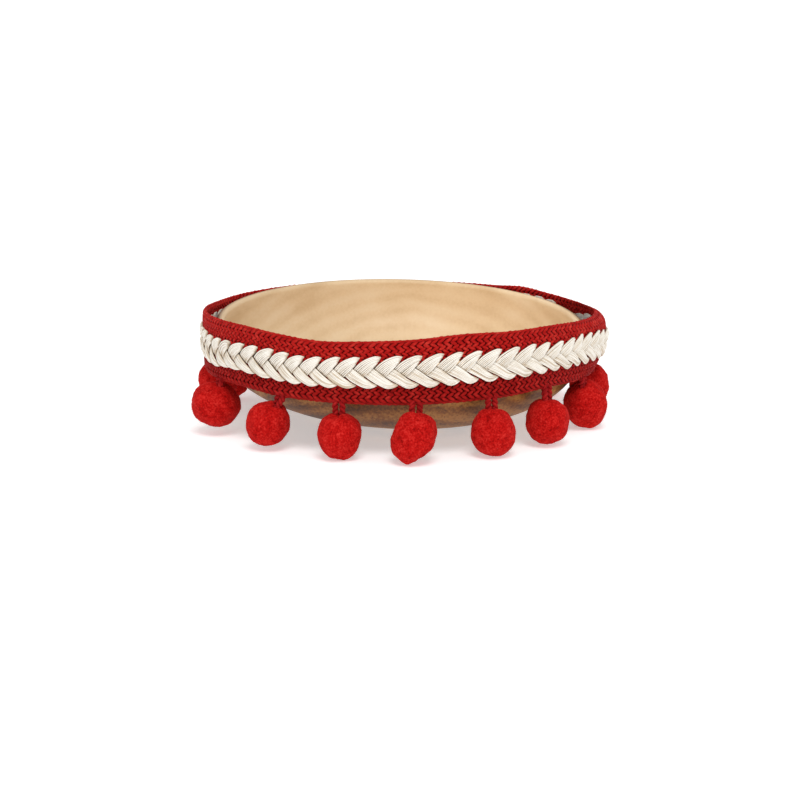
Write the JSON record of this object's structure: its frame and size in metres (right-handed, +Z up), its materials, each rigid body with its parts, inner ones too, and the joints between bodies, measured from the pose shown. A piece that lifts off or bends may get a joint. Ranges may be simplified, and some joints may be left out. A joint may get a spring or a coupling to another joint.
{
  "type": "pompom trim wound on a wooden bowl",
  "caption": "Red braided trim with a white plait and hanging felt pompoms, wound round a shallow turned wooden bowl.",
  "frame": {"origin": "on the surface that the bowl stands on, below the middle of the trim's ring, on the face of the bowl's foot", "axes": "+Z up; -Y is the front, where the bowl's rim leans lowest; +X to the right seen from the front, where the trim bellies out"},
  "size_m": [0.164, 0.1686, 0.0449],
  "materials": {
    "turned_wood": "fine pale turned wood, satin inside and browner and open pored underneath",
    "red_yarn": "matte red yarn, flat braided",
    "white_cotton": "soft off-white cotton threads laid side by side and plaited",
    "red_felt": "bright red felted wool pile"
  },
  "bodies": {
    "root": {"bowl": "turned_wood", "braid_upper": "red_yarn", "braid_lower": "red_yarn", "plait": "white_cotton", "pompom_01": "red_felt", "pompom_02": "red_felt", "pompom_03": "red_felt", "pompom_04": "red_felt", "pompom_05": "red_felt", "pompom_06": "red_felt", "pompom_07": "red_felt", "pompom_08": "red_felt", "pompom_09": "red_felt", "pompom_10": "red_felt", "pompom_11": "red_felt", "pompom_12": "red_felt", "pompom_13": "red_felt", "pompom_14": "red_felt", "pompom_15": "red_felt", "pompom_16": "red_felt"}
  },
  "joints": []
}
